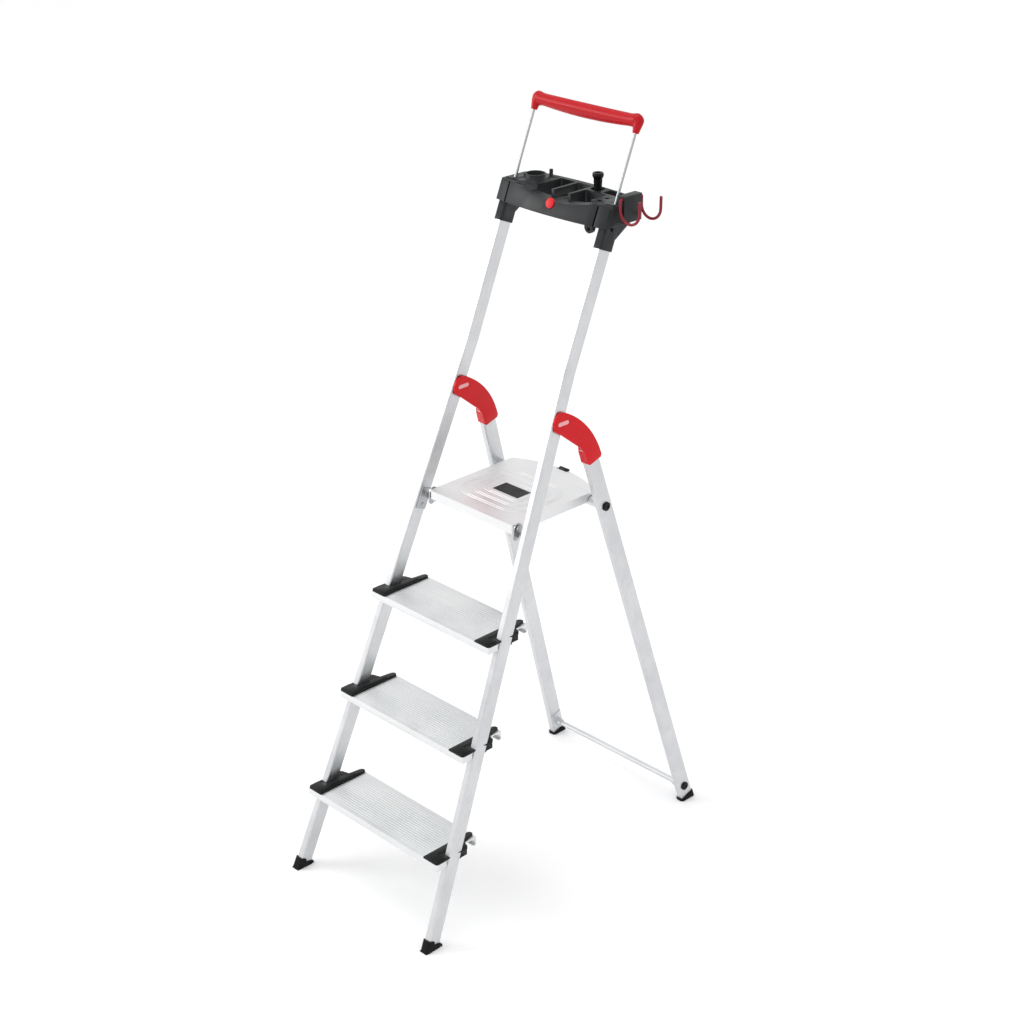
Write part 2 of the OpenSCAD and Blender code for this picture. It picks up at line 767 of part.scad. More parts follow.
function deck_plan(inset) = let (
    half = deck_w / 2 - inset, r = bow_r - inset, c = deck_rear - bow_r,
    a = asin(half / r), q = 6)
  concat(
    arc(q - half, deck_front + inset + q, q, 180, 270, 4),
    arc(half - q, deck_front + inset + q, q, 270, 360, 4),
    arc(0, c, r, 90 - a, 90 + a, 24));

// The way out for the cross tube as the platform lifts off it
module tube_way(gap, x0, x1) {
  r = cross_d / 2 + gap;
  on_tube() rotate([-leave, 0, 0])
    across(x0, x1, concat(arc(0, 0, r, 0, 180, 15), [[-r, -60], [r, -60]]));
}

module deck() {
  low = platform_z - deck_h;
  difference() {
    translate([0, 0, low]) linear_extrude(deck_h) polygon(deck_plan(0));
    translate([0, 0, low - 1]) linear_extrude(deck_h - deck_skin + 1)
      polygon(deck_plan(deck_skin));
    tube_way(tube_gap, -200, 200);
    translate([-latch_w / 2 - 2, latch_y + 11.5, low - 1])
      cube([latch_w + 4, 60, deck_h + 2]);
    translate([0, pivot_y, pivot_z]) rod_x(-200, 200, pivot_r);
    plate_at(0);
  }
  // ribs under the deck, and the ears that hold the latch's pin
  for (x = [-50, 50])
    translate([x - 1, deck_front + 1, low + 6]) cube([2, tube_y - deck_front - 22, deck_h - 7]);
  difference() {
    both() translate([latch_w / 2 + 2, latch_y - 7, latch_z - 6])
      cube([3, 14, platform_z - latch_z + 6 - deck_skin + 0.5]);
    on_latch() rod_x(-latch_w, latch_w, latch_pin_r);
  }
}

plate_w = 74;
plate_d = 40;

module plate_at(extra) {
  translate([-plate_w / 2, deck_front + 102, platform_z - 1])
    cube([plate_w, plate_d, 1 + extra + eps]);
}

module hooks() {
  x0 = deck_w / 2 - deck_skin - 16;
  x1 = deck_w / 2 - deck_skin;
  both() difference() {
    across(x0, x1, [
      [tube_y - 20, platform_z - deck_skin], [tube_y - 20, tube_z + 4],
      [tube_y - 12, tube_z - 4], [tube_y + 14, tube_z - 12], [tube_y + 19, tube_z - 4],
      [tube_y + 19, platform_z - deck_skin - 5], [tube_y + 14, platform_z - deck_skin]]);
    // the deck's skirt passes outside the hooks
    translate([0, 0, platform_z - deck_h]) linear_extrude(deck_h) difference() {
      polygon(deck_plan(-60));
      polygon(deck_plan(deck_skin + 0.1));
    }
    tube_way(tube_gap - 0.4, x0 - 1, x1 + 1);
  }
}

module pivots() {
  both() translate([0, pivot_y, pivot_z]) {
    rod_x(deck_w / 2 - deck_skin - 5, ear_x + ear_t + 4, pivot_r);
    rod_x(deck_w / 2 - deck_skin - 5, deck_w / 2 - deck_skin, 6);
    rod_x(ear_x + ear_t + 1, ear_x + ear_t + 5, 8);
  }
}

module on_latch() {
  translate([0, latch_y, latch_z]) children();
}

module latch() {
  difference() {
    on_latch() across(-latch_w / 2, latch_w / 2, concat(
      arc(0, 0, 6, -75, -25, 6),
      [[12, -3], [18, 0], [21, 8], [24, 10], [24, 13.5], [22, 14.5], [18, 14], [16, 10],
       [14, 4], [9, 3], [4, 5.5], [-1, 6], [-6, 2], [-12, -9], [-11, -15], [-6, -15],
       [-3, -9]]));
    on_latch() rod_x(-latch_w, latch_w, latch_pin_r + fit);
    on_latch() rod_x(-6, 6, 9);
  }
}

module spring() {
  turns = 5;
  n = 10;
  steps = turns * 14;
  wire = 0.7;
  coil = 3.2;
  pts = [for (i = [0:steps]) let (a = 360 * turns * i / steps, x = -4.2 + 8.4 * i / steps)
    for (j = [0:n - 1]) let (b = 360 * j / n, r = coil + wire * cos(b))
      [x + wire * sin(b), r * cos(a), r * sin(a)]];
  faces = concat(
    [[for (j = [0:n - 1]) n - 1 - j]],
    [for (i = [0:steps - 1], j = [0:n - 1]) let (k = (j + 1) % n)
      [i * n + j, i * n + k, (i + 1) * n + k, (i + 1) * n + j]],
    [[for (j = [0:n - 1]) steps * n + j]]);
  on_latch() polyhedron(pts, faces, convexity = 10);
}

/* Handrail */

module at_rail(s, z) {
  translate([s * rod_x, stile_y(z), z]) rotate([-lean, 0, 0]) children();
}

// Oval sections along the grip: thick and low in the middle, slim towards its ends, with a
// rounded boss over each rod
module grip() {
  n = 20;
  m = 44;
  pts = [for (i = [0:m]) let (
      t = 2 * i / m - 1,
      x = grip_l / 2 * sin(90 * t),
      u = abs(x) / (grip_l / 2),
      end = sqrt(max(0.02, 1 - pow(u * grip_l / (grip_l + 1), 16))),
      boss = exp(-pow((abs(x) - rod_x + 2) / 11, 2)),
      rise = grip_t / 2 - 4 * u * u + 4.5 * boss,
      drop = grip_t / 2 - 4 * u * u + 6 * boss,
      z = grip_z - 5 * (1 - u * u))
    for (j = [0:n - 1]) let (a = 360 * j / n, h = sin(a) > 0 ? rise : drop)
      [x, stile_y(grip_z) + (11.5 + 1.5 * boss) * end * cos(a), z + h * end * sin(a)]];
  faces = concat(
    [[for (j = [0:n - 1]) j]],
    [for (i = [0:m - 1], j = [0:n - 1]) let (k = (j + 1) % n)
      [i * n + j, (i + 1) * n + j, (i + 1) * n + k, i * n + k]],
    [[for (j = [0:n - 1]) (m + 1) * n - 1 - j]]);
  difference() {
    union() {
      polyhedron(pts, faces, convexity = 4);
      for (s = [-1, 1]) at_rail(s, rail_z) cylinder(r1 = stub_r - 1.5, r2 = stub_r + 2.5, h = 22);
    }
    for (s = [-1, 1]) at_rail(s, rail_z) translate([0, 0, -1]) cylinder(r = rod_d / 2, h = 15);
  }
}

module rods() {
  both() mast_axis() translate([0, 0, rod_foot])
    cylinder(r = rod_d / 2, h = rail_z / cos(lean) + 14 - rod_foot);
}

module glides() {
  w = stile_w - 2 * tube_wall - 2 * seat;
  d = stile_d - 2 * tube_wall - 2 * seat;
  both() mast_axis() difference() {
    bar(w, d, 1.1, rod_foot - 6, rod_foot + 18);
    translate([0, 0, rod_foot]) cylinder(r = rod_d / 2, h = 30);
  }
}

color("silver") placed() side(-1) stile();  // stile_left
color("silver") placed() side(1) stile();  // stile_right
color("gainsboro") placed() tread(0);  // tread_1
color("gainsboro") placed() tread(1);  // tread_2
color("gainsboro") placed() tread(2);  // tread_3
color("dimgray") placed() side(-1) cap(0);  // cap_left_1
color("dimgray") placed() side(-1) cap(1);  // cap_left_2
color("dimgray") placed() side(-1) cap(2);  // cap_left_3
color("dimgray") placed() side(1) cap(0);  // cap_right_1
color("dimgray") placed() side(1) cap(1);  // cap_right_2
color("dimgray") placed() side(1) cap(2);  // cap_right_3
color("gray") placed() both() rivets_at_caps();  // cap_rivets
color("black") placed() side(-1) front_foot();  // front_foot_left
color("black") placed() side(1) front_foot();  // front_foot_right
color("silver") placed() side(-1) platform_bracket();  // platform_bracket_left
color("silver") placed() side(1) platform_bracket();  // platform_bracket_right
color("gray") placed() both() rivets_at_brackets();  // bracket_rivets
color("dimgray") placed() tray();
color("gray") placed() screws();  // tray_screws
color("red") placed() badge();  // tray_badge
color("black") placed() post();  // reel_post
color("silver") placed() side(-1) leg();  // leg_left
color("silver") placed() side(1) leg();  // leg_right
color("red") placed() side(-1) hinge(-1);  // hinge_left
color("red") placed() side(1) hinge(1);  // hinge_right
color("gray") placed() {  // hinge_pins
  hinge_pin(1);
  side(-1) hinge_pin(-1);
}
color("silver") placed() cross_tube();
color("black") placed() bolts_at_tube();  // tube_bolts
color("silver") placed() crossbar();
color("silver") placed() both() crossbar_bracket();  // crossbar_brackets
color("black") placed() bolts_at_crossbar();  // crossbar_bolts
color("black") placed() side(-1) rear_foot();  // rear_foot_left
color("black") placed() side(1) rear_foot();  // rear_foot_right
color("gainsboro") placed() deck();
color("black") placed() plate_at(0.6);  // deck_plate
color("gray") placed() hooks();  // tube_hooks
color("gray") placed() pivots();  // deck_pivots
color("gray") placed() on_latch() rod_x(-latch_w / 2 - 5, latch_w / 2 + 5, latch_pin_r);  // latch_pin
color("gray") placed() spring();  // latch_spring
color("black") placed() latch();  // latch_lever
color("red") placed() grip();
color("silver") placed() rods();
color("black") placed() glides();  // rod_glides
color("red") placed() hook();  // wire_hook
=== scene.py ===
"""Looks of a folding step ladder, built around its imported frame.

Metres throughout. +X is the climber's right, the climber faces +Y, +Z is up.
"""

import json
import math

import bmesh
import bpy
from bpy.props import FloatProperty, IntProperty, PointerProperty, StringProperty
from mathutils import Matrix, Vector


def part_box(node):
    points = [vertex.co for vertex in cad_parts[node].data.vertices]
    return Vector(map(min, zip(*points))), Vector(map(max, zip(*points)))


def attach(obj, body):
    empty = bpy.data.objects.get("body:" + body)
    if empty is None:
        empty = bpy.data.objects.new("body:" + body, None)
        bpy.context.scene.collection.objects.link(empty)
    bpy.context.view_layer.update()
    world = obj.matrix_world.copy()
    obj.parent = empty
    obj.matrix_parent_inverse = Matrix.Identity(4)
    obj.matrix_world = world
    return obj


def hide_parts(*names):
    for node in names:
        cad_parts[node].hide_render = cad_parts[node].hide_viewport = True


bl_info = {
    "name": "Step Ladder",
    "version": (1, 0, 0),
    "blender": (4, 5, 0),
    "location": "View3D > Sidebar > Step Ladder",
    "description": "Builds the looks of a folding step ladder around its frame",
    "category": "Object",
}

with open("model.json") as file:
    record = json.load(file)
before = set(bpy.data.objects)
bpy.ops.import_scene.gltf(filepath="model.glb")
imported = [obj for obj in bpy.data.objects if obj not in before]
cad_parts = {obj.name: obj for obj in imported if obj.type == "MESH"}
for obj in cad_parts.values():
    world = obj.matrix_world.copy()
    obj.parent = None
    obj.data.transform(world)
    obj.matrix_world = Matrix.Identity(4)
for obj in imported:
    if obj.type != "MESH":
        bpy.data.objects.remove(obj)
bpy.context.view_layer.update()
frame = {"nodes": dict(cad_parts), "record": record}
NODES = frame["nodes"]
JOINTS = {j["name"]: j for j in frame["record"]["behaviour"]["joints"]}
MM = 0.001

# The stiles lean back by LEAN, and the rear legs lean the other way by LEG_LEAN
SLIDE_AXIS = Vector(JOINTS["handrail_slide"]["axis"])
LEAN = math.atan2(SLIDE_AXIS.y, SLIDE_AXIS.z)
FOLD = math.radians(max(JOINTS["rear_fold"]["range_deg"]))
LEG_LEAN = FOLD - LEAN
HINGE = Vector(JOINTS["rear_fold"]["pos_m"])
# how far the middle of each sole stands from the ladder's middle
FOOT_X = max(m["pos_m"][0] for m in frame["record"]["mounts"])


# ---------------------------------------------------------------- colours and nodes


def linear(code):
    """The linear RGBA of an sRGB hex colour such as "C8CACC"."""
    def channel(i):
        v = int(code[i:i + 2], 16) / 255
        return v / 12.92 if v <= 0.04045 else ((v + 0.055) / 1.055) ** 2.4
    return (channel(0), channel(2), channel(4), 1.0)


def add(tree, kind, links=None, values=None, **settings):
    """Adds a node. Links maps an input to the socket that feeds it, and values an input to
    what it is set to. Settings are the node's attributes, or inputs given by name."""
    node = tree.nodes.new(kind)
    for key, value in settings.items():
        if hasattr(node, key):
            setattr(node, key, value)
        else:
            node.inputs[key.replace("_", " ")].default_value = value
    for key, value in (values or {}).items():
        node.inputs[key].default_value = value
    for key, socket in (links or {}).items():
        tree.links.new(socket, node.inputs[key])
    return node


def new_material(name):
    """A material with one Principled shader, and the socket of its Object coordinates."""
    material = bpy.data.materials.new(name)
    material.use_nodes = True
    tree = material.node_tree
    tree.nodes.clear()
    out = tree.nodes.new("ShaderNodeOutputMaterial")
    shader = tree.nodes.new("ShaderNodeBsdfPrincipled")
    tree.links.new(shader.outputs["BSDF"], out.inputs["Surface"])
    where = tree.nodes.new("ShaderNodeTexCoord")
    return material, tree, shader, where.outputs["Object"]


def extruded_aluminium(name, tilt, light="D9DADB", dark="C4C6C8", rough=0.34, line=0.9):
    """Clear-anodised extrusion, or bar drawn through a die: faint lines run along the
    profile, the film softens the reflections and handling leaves broad, duller patches."""
    material, tree, shader, where = new_material(name)
    turned = add(tree, "ShaderNodeMapping", {"Vector": where}, Rotation=tilt)
    # die lines every millimetre or so, hundreds of millimetres long
    along = add(tree, "ShaderNodeMapping", {"Vector": turned.outputs[0]},
                Scale=(1 / (line * MM), 1 / (line * MM), 1.5))
    lines = add(tree, "ShaderNodeTexNoise", {"Vector": along.outputs[0]},
                Scale=1.0, Detail=3.0, Roughness=0.6)
    patches = add(tree, "ShaderNodeTexNoise", {"Vector": turned.outputs[0]},
                  Scale=14.0, Detail=4.0, Roughness=0.55)
    factor = add(tree, "ShaderNodeMath", {0: lines.outputs["Fac"], 1: patches.outputs["Fac"]},
                 operation="MULTIPLY")
    spread = add(tree, "ShaderNodeMapRange", {"Value": factor.outputs[0]},
                 From_Min=0.12, From_Max=0.38)
    # inputs 6 and 7 of a mix are its two colours, and output 2 is the mixed one
    tone = add(tree, "ShaderNodeMix", {0: spread.outputs[0]},
               {6: linear(dark), 7: linear(light)}, data_type="RGBA")
    tree.links.new(tone.outputs[2], shader.inputs["Base Color"])
    sheen = add(tree, "ShaderNodeMapRange", {"Value": patches.outputs["Fac"]},
                From_Min=0.3, From_Max=0.7, To_Min=rough - 0.05, To_Max=rough + 0.08)
    tree.links.new(sheen.outputs[0], shader.inputs["Roughness"])
    bump = add(tree, "ShaderNodeBump", {"Height": lines.outputs["Fac"]},
               Strength=0.12, Distance=0.2 * MM)
    tree.links.new(bump.outputs[0], shader.inputs["Normal"])
    shader.inputs["Metallic"].default_value = 1.0
    return material


def moulded_plastic(name, colour, shade, rough=0.5, gloss=0.35, grain=0.7, depth=0.05):
    """Injection-moulded ABS, or a coating that looks like it: an even colour, a fine
    spark-eroded grain that dulls the highlights, and faint flow marks."""
    material, tree, shader, where = new_material(name)
    # the real grain is about 0.1 mm and would not show, so it is drawn coarser
    grains = add(tree, "ShaderNodeTexNoise", {"Vector": where},
                 Scale=1 / (grain * MM), Detail=2.0, Roughness=0.5)
    flow = add(tree, "ShaderNodeTexNoise", {"Vector": where}, Scale=22.0, Detail=3.0)
    tone = add(tree, "ShaderNodeMix", {0: flow.outputs["Fac"]},
               {6: linear(shade), 7: linear(colour)}, data_type="RGBA")
    tree.links.new(tone.outputs[2], shader.inputs["Base Color"])
    sheen = add(tree, "ShaderNodeMapRange", {"Value": flow.outputs["Fac"]},
                From_Min=0.3, From_Max=0.7, To_Min=rough - 0.06, To_Max=rough + 0.06)
    tree.links.new(sheen.outputs[0], shader.inputs["Roughness"])
    bump = add(tree, "ShaderNodeBump", {"Height": grains.outputs["Fac"]},
               Strength=0.35, Distance=depth * MM)
    tree.links.new(bump.outputs[0], shader.inputs["Normal"])
    shader.inputs["IOR"].default_value = 1.53
    shader.inputs["Specular IOR Level"].default_value = gloss
    return material


def moulded_rubber(name):
    """Thermoplastic rubber: near black, matt, scuffed grey where it has been dragged."""
    material, tree, shader, where = new_material(name)
    scuffs = add(tree, "ShaderNodeTexNoise", {"Vector": where}, Scale=160.0, Detail=6.0,
                 Roughness=0.7)
    worn = add(tree, "ShaderNodeMapRange", {"Value": scuffs.outputs["Fac"]},
               From_Min=0.5, From_Max=0.8)
    tone = add(tree, "ShaderNodeMix", {0: worn.outputs[0]},
               {6: linear("090909"), 7: linear("1A1A19")}, data_type="RGBA")
    tree.links.new(tone.outputs[2], shader.inputs["Base Color"])
    grain = add(tree, "ShaderNodeTexNoise", {"Vector": where}, Scale=900.0, Detail=2.0)
    bump = add(tree, "ShaderNodeBump", {"Height": grain.outputs["Fac"]},
               Strength=0.3, Distance=0.15 * MM)
    tree.links.new(bump.outputs[0], shader.inputs["Normal"])
    shader.inputs["Roughness"].default_value = 0.72
    shader.inputs["IOR"].default_value = 1.5
    shader.inputs["Specular IOR Level"].default_value = 0.2
    return material


def plated_steel(name, light, dark, rough):
    """Zinc-plated or blackened steel: greyer than aluminium, with a fine cloudy spangle."""
    material, tree, shader, where = new_material(name)
    spangle = add(tree, "ShaderNodeTexVoronoi", {"Vector": where}, Scale=700.0)
    cloud = add(tree, "ShaderNodeTexNoise", {"Vector": where}, Scale=120.0, Detail=4.0)
    factor = add(tree, "ShaderNodeMath", {0: spangle.outputs["Distance"],
                                          1: cloud.outputs["Fac"]}, operation="MULTIPLY")
    tone = add(tree, "ShaderNodeMix", {0: factor.outputs[0]},
               {6: linear(dark), 7: linear(light)}, data_type="RGBA")
    tree.links.new(tone.outputs[2], shader.inputs["Base Color"])
    sheen = add(tree, "ShaderNodeMapRange", {"Value": cloud.outputs["Fac"]},
                To_Min=rough - 0.08, To_Max=rough + 0.1)
    tree.links.new(sheen.outputs[0], shader.inputs["Roughness"])
    shader.inputs["Metallic"].default_value = 1.0
    return material


# ---------------------------------------------------------------- meshes


def put(obj, material, body, slot, *replaced):
    """Finishes a piece: its material, the body it rides on and the nodes it stands for."""
    obj.data.materials.clear()
    obj.data.materials.append(material)
    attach(obj, body)
    if replaced:
        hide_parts(*replaced)
    return obj


def object_from(bm, name, smooth_angle=38):
    """Makes an object of a bmesh, smooth shaded but for edges sharper than the angle."""
    mesh = bpy.data.meshes.new(name)
    bm.to_mesh(mesh)
    bm.free()
    mesh.polygons.foreach_set("use_smooth", [True] * len(mesh.polygons))
    mesh.set_sharp_from_angle(angle=math.radians(smooth_angle))
    obj = bpy.data.objects.new(name, mesh)
    bpy.context.scene.collection.objects.link(obj)
    return obj


def merged_copy(nodes):
    """A bmesh of CAD nodes, with the loose triangles' corners joined up."""
    bm = bmesh.new()
    for node in nodes:
        bm.from_mesh(NODES[node].data)
    bmesh.ops.remove_doubles(bm, verts=bm.verts, dist=0.01 * MM)
    return bm


def softened(name, nodes, width, segments=3, sharp=32, smooth_angle=38):
    """A copy of CAD nodes as one mesh, with its outer edges rounded as a moulding's are."""
    bm = merged_copy(nodes)
    bmesh.ops.dissolve_limit(bm, angle_limit=math.radians(1.2), verts=bm.verts, edges=bm.edges,
                             delimit={"NORMAL"})
    edges = [e for e in bm.edges if e.is_convex and len(e.link_faces) == 2
             and e.calc_face_angle(0) > math.radians(sharp)]
    bmesh.ops.bevel(bm, geom=edges, offset=width * MM, offset_type="OFFSET",
                    segments=segments, profile=0.5, affect="EDGES", clamp_overlap=True)
    bmesh.ops.triangulate(bm, faces=[f for f in bm.faces if len(f.verts) > 4])
    return object_from(bm, name, smooth_angle)


def tube(bm, path, radius, sides=16, closed=False, flat=1.0, up=None):
    """Adds a round bar along a path. flat squashes it along its second direction."""
    n = len(path)
    rings = []
    side = None
    for i, point in enumerate(path):
        ahead = path[(i + 1) % n] if closed else path[min(i + 1, n - 1)]
        behind = path[i - 1] if closed or i else path[0]
        t = (ahead - behind).normalized()
        if up is not None:
            side = t.cross(up).normalized()
        elif side is None:
            side = t.orthogonal().normalized()
        else:
            side = (side - t * side.dot(t)).normalized()
        other = t.cross(side)
        rings.append([bm.verts.new(point + radius * (math.cos(a) * side
                                                     + flat * math.sin(a) * other))
                      for a in (2 * math.pi * j / sides for j in range(sides))])
    for i in range(n if closed else n - 1):
        a, b = rings[i], rings[(i + 1) % n]
        for j in range(sides):
            k = (j + 1) % sides
            bm.faces.new((a[j], a[k], b[k], b[j]))
    if not closed:
        bm.faces.new(list(reversed(rings[0])))
        bm.faces.new(rings[-1])


def turned(bm, centre, axis, profile, sides=32):
    """Adds a lathe-turned piece: profile is [(radius, height along axis), ...], and its
    first and last points lie on the axis."""
    axis = Vector(axis).normalized()
    a = axis.orthogonal().normalized()
    b = axis.cross(a)
    rings = []
    for r, h in profile:
        p = Vector(centre) + axis * h
        if r < 1e-7:
            rings.append([bm.verts.new(p)])
        else:
            rings.append([bm.verts.new(p + r * (math.cos(q) * a + math.sin(q) * b))
                          for q in (2 * math.pi * j / sides for j in range(sides))])
    for low, high in zip(rings, rings[1:]):
        for j in range(sides):
            k = (j + 1) % sides
            if len(low) == 1:
                bm.faces.new((low[0], high[k], high[j]))
            elif len(high) == 1:
                bm.faces.new((low[j], low[k], high[0]))
            else:
                bm.faces.new((low[j], low[k], high[k], high[j]))


def size_and_centre(node):
    """The box of a CAD node, as its size and its middle."""
    low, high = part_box(node)
    return high - low, (low + high) / 2


def lumps(node):
    """The box of each separate lump of a CAD node, as (low, high) pairs."""
    bm = merged_copy([node])
    found = set()
    boxes = []
    for first in bm.verts:
        if first in found:
            continue
        found.add(first)
        heap, lump = [first], [first.co]
        while heap:
            for edge in heap.pop().link_edges:
                for v in edge.verts:
                    if v not in found:
                        found.add(v)
                        heap.append(v)
                        lump.append(v.co)
        boxes.append((Vector(map(min, zip(*lump))), Vector(map(max, zip(*lump)))))
    bm.free()
    return boxes


# ---------------------------------------------------------------- Geometry Nodes


def nodes_tree(name, inputs):
    """A Geometry Nodes tree with the named inputs, their sockets and its output socket."""
    tree = bpy.data.node_groups.new(name, "GeometryNodeTree")
    tree.interface.new_socket("Geometry", in_out="INPUT", socket_type="NodeSocketGeometry")
    for label, kind in inputs:
        tree.interface.new_socket(label, in_out="INPUT", socket_type=kind)
    tree.interface.new_socket("Geometry", in_out="OUTPUT", socket_type="NodeSocketGeometry")
    entry = tree.nodes.new("NodeGroupInput")
    out = tree.nodes.new("NodeGroupOutput")
    return tree, entry.outputs, out.inputs["Geometry"]


def ended(tree, geometry, out, material):
    """Ends a tree in Realize Instances and Set Material."""
    real = add(tree, "GeometryNodeRealizeInstances", {"Geometry": geometry})
    done = add(tree, "GeometryNodeSetMaterial", {"Geometry": real.outputs[0]})
    tree.links.new(material, done.inputs["Material"])
    tree.links.new(done.outputs[0], out)


def grown(name, tree, start, values):
    """The mesh that a tree grows from a start mesh, with its inputs set by identifier."""
    base = bpy.data.objects.new(name + "_start", start)
    bpy.context.scene.collection.objects.link(base)
    modifier = base.modifiers.new("nodes", "NODES")
    modifier.node_group = tree
    for item in tree.interface.items_tree:
        if item.item_type == "SOCKET" and item.in_out == "INPUT" and item.name in values:
            modifier[item.identifier] = values[item.name]
    graph = bpy.context.evaluated_depsgraph_get()
    mesh = bpy.data.meshes.new_from_object(base.evaluated_get(graph))
    base.modifiers.remove(modifier)
    bpy.data.objects.remove(base)
    mesh.name = name
    obj = bpy.data.objects.new(name, mesh)
    bpy.context.scene.collection.objects.link(obj)
    return obj


def points_mesh(name, points, normals=None):
    """A mesh of loose points, with an attribute for the way each one faces."""
    mesh = bpy.data.meshes.new(name)
    mesh.from_pydata([tuple(p) for p in points], [], [])
    if normals:
        facing = mesh.attributes.new("facing", "FLOAT_VECTOR", "POINT")
        facing.data.foreach_set("vector", [c for n in normals for c in n])
    return mesh


def ridge_tree():
    """Half-round ridges along X, one at each start point, as rolled on a tread."""
    tree, given, out = nodes_tree("ridge_rows", [
        ("Length", "NodeSocketFloat"), ("Ridge Radius", "NodeSocketFloat"),
        ("Material", "NodeSocketMaterial")])
    half = add(tree, "ShaderNodeMath", {0: given["Length"]}, {1: 0.5}, operation="MULTIPLY")
    back = add(tree, "ShaderNodeMath", {0: half.outputs[0]}, {1: -1.0}, operation="MULTIPLY")
    start = add(tree, "ShaderNodeCombineXYZ", {"X": back.outputs[0]})
    end = add(tree, "ShaderNodeCombineXYZ", {"X": half.outputs[0]})
    line = add(tree, "GeometryNodeCurvePrimitiveLine", {"Start": start.outputs[0],
                                                        "End": end.outputs[0]})
    ring = add(tree, "GeometryNodeCurvePrimitiveCircle", {"Radius": given["Ridge Radius"]},
               Resolution=10)
    bar = add(tree, "GeometryNodeCurveToMesh",
              {"Curve": line.outputs[0], "Profile Curve": ring.outputs[0]}, Fill_Caps=True)
    rows = add(tree, "GeometryNodeInstanceOnPoints", {"Points": given["Geometry"],
                                                      "Instance": bar.outputs[0]})
    ended(tree, rows.outputs[0], out, given["Material"])
    return tree


def rivet_tree():
    """Domed rivets, one at each point, turned to face along the point's attribute."""
    tree, given, out = nodes_tree("rivets", [
        ("Head Radius", "NodeSocketFloat"), ("Dome", "NodeSocketFloat"),
        ("Shank Radius", "NodeSocketFloat"), ("Shank Length", "NodeSocketFloat"),
        ("Material", "NodeSocketMaterial")])
    shank = add(tree, "GeometryNodeMeshCylinder", {"Radius": given["Shank Radius"],
                                                   "Depth": given["Shank Length"]}, Vertices=14)
    sink = add(tree, "ShaderNodeMath", {0: given["Shank Length"]}, {1: -0.5},
               operation="MULTIPLY")
    below = add(tree, "ShaderNodeCombineXYZ", {"Z": sink.outputs[0]})
    sunk = add(tree, "GeometryNodeTransform", {"Geometry": shank.outputs[0],
                                               "Translation": below.outputs[0]})
    ball = add(tree, "GeometryNodeMeshUVSphere", {"Radius": given["Head Radius"]},
               Segments=20, Rings=12)
    squash = add(tree, "ShaderNodeCombineXYZ", {"Z": given["Dome"]}, X=1.0, Y=1.0)
    head = add(tree, "GeometryNodeTransform", {"Geometry": ball.outputs[0],
                                               "Scale": squash.outputs[0]})
    rivet = add(tree, "GeometryNodeJoinGeometry")
    tree.links.new(head.outputs[0], rivet.inputs[0])
    tree.links.new(sunk.outputs[0], rivet.inputs[0])
    facing = add(tree, "GeometryNodeInputNamedAttribute", data_type="FLOAT_VECTOR", Name="facing")
    turn = add(tree, "FunctionNodeAlignRotationToVector",
               {"Vector": facing.outputs["Attribute"]}, axis="Z")
    heads = add(tree, "GeometryNodeInstanceOnPoints",
                {"Points": given["Geometry"], "Instance": rivet.outputs[0],
                 "Rotation": turn.outputs[0]})
    smooth = add(tree, "GeometryNodeSetShadeSmooth", {"Geometry": heads.outputs[0]})
    ended(tree, smooth.outputs[0], out, given["Material"])
    return tree


def spring_tree():
    """A coil of round wire along X, one at each point."""
    tree, given, out = nodes_tree("coil", [
        ("Turns", "NodeSocketFloat"), ("Coil Radius", "NodeSocketFloat"),
        ("Length", "NodeSocketFloat"), ("Wire Radius", "NodeSocketFloat"),
        ("Material", "NodeSocketMaterial")])
    spiral = add(tree, "GeometryNodeCurveSpiral", {
        "Rotations": given["Turns"], "Start Radius": given["Coil Radius"],
        "End Radius": given["Coil Radius"], "Height": given["Length"]}, Resolution=24)
    ring = add(tree, "GeometryNodeCurvePrimitiveCircle", {"Radius": given["Wire Radius"]},
               Resolution=10)
    wire = add(tree, "GeometryNodeCurveToMesh",
               {"Curve": spiral.outputs[0], "Profile Curve": ring.outputs[0]}, Fill_Caps=True)
    across = add(tree, "GeometryNodeTransform", {"Geometry": wire.outputs[0]},
                 Rotation=(0.0, math.pi / 2, 0.0))
    coils = add(tree, "GeometryNodeInstanceOnPoints", {"Points": given["Geometry"],
                                                       "Instance": across.outputs[0]})
    smooth = add(tree, "GeometryNodeSetShadeSmooth", {"Geometry": coils.outputs[0]})
    ended(tree, smooth.outputs[0], out, given["Material"])
    return tree


# ---------------------------------------------------------------- settings


class LadderSizes(bpy.types.PropertyGroup):
    """Sizes and colours a user would change"""
    ridge_pitch: FloatProperty(
        name="Ridge pitch", description="Distance between the ridges on a tread",
        default=6.5 * MM, min=2 * MM, max=20 * MM, subtype="DISTANCE", unit="LENGTH")
    ridge_height: FloatProperty(
        name="Ridge height", description="How far a ridge stands above a tread",
        default=0.4 * MM, min=0.2 * MM, max=3 * MM, subtype="DISTANCE", unit="LENGTH")
    edge_rounding: FloatProperty(
        name="Edge rounding", description="Rounding of the mouldings' outer edges, in mm",
        default=1.0, min=0.2, max=3.0)
    red: StringProperty(
        name="Red", description="Hex colour of the hinge housings and the grip",
        default="D00C18")
    dark: StringProperty(
        name="Dark plastic", description="Hex colour of the tool tray",
        default="1D1F21")
    spring_turns: IntProperty(
        name="Spring turns", description="Turns of wire in the latch's spring",
        default=6, min=3, max=12)


def sizes():
    return bpy.context.scene.ladder_sizes


FINISHES = {}
ALONG_X = (0, math.pi / 2, 0)


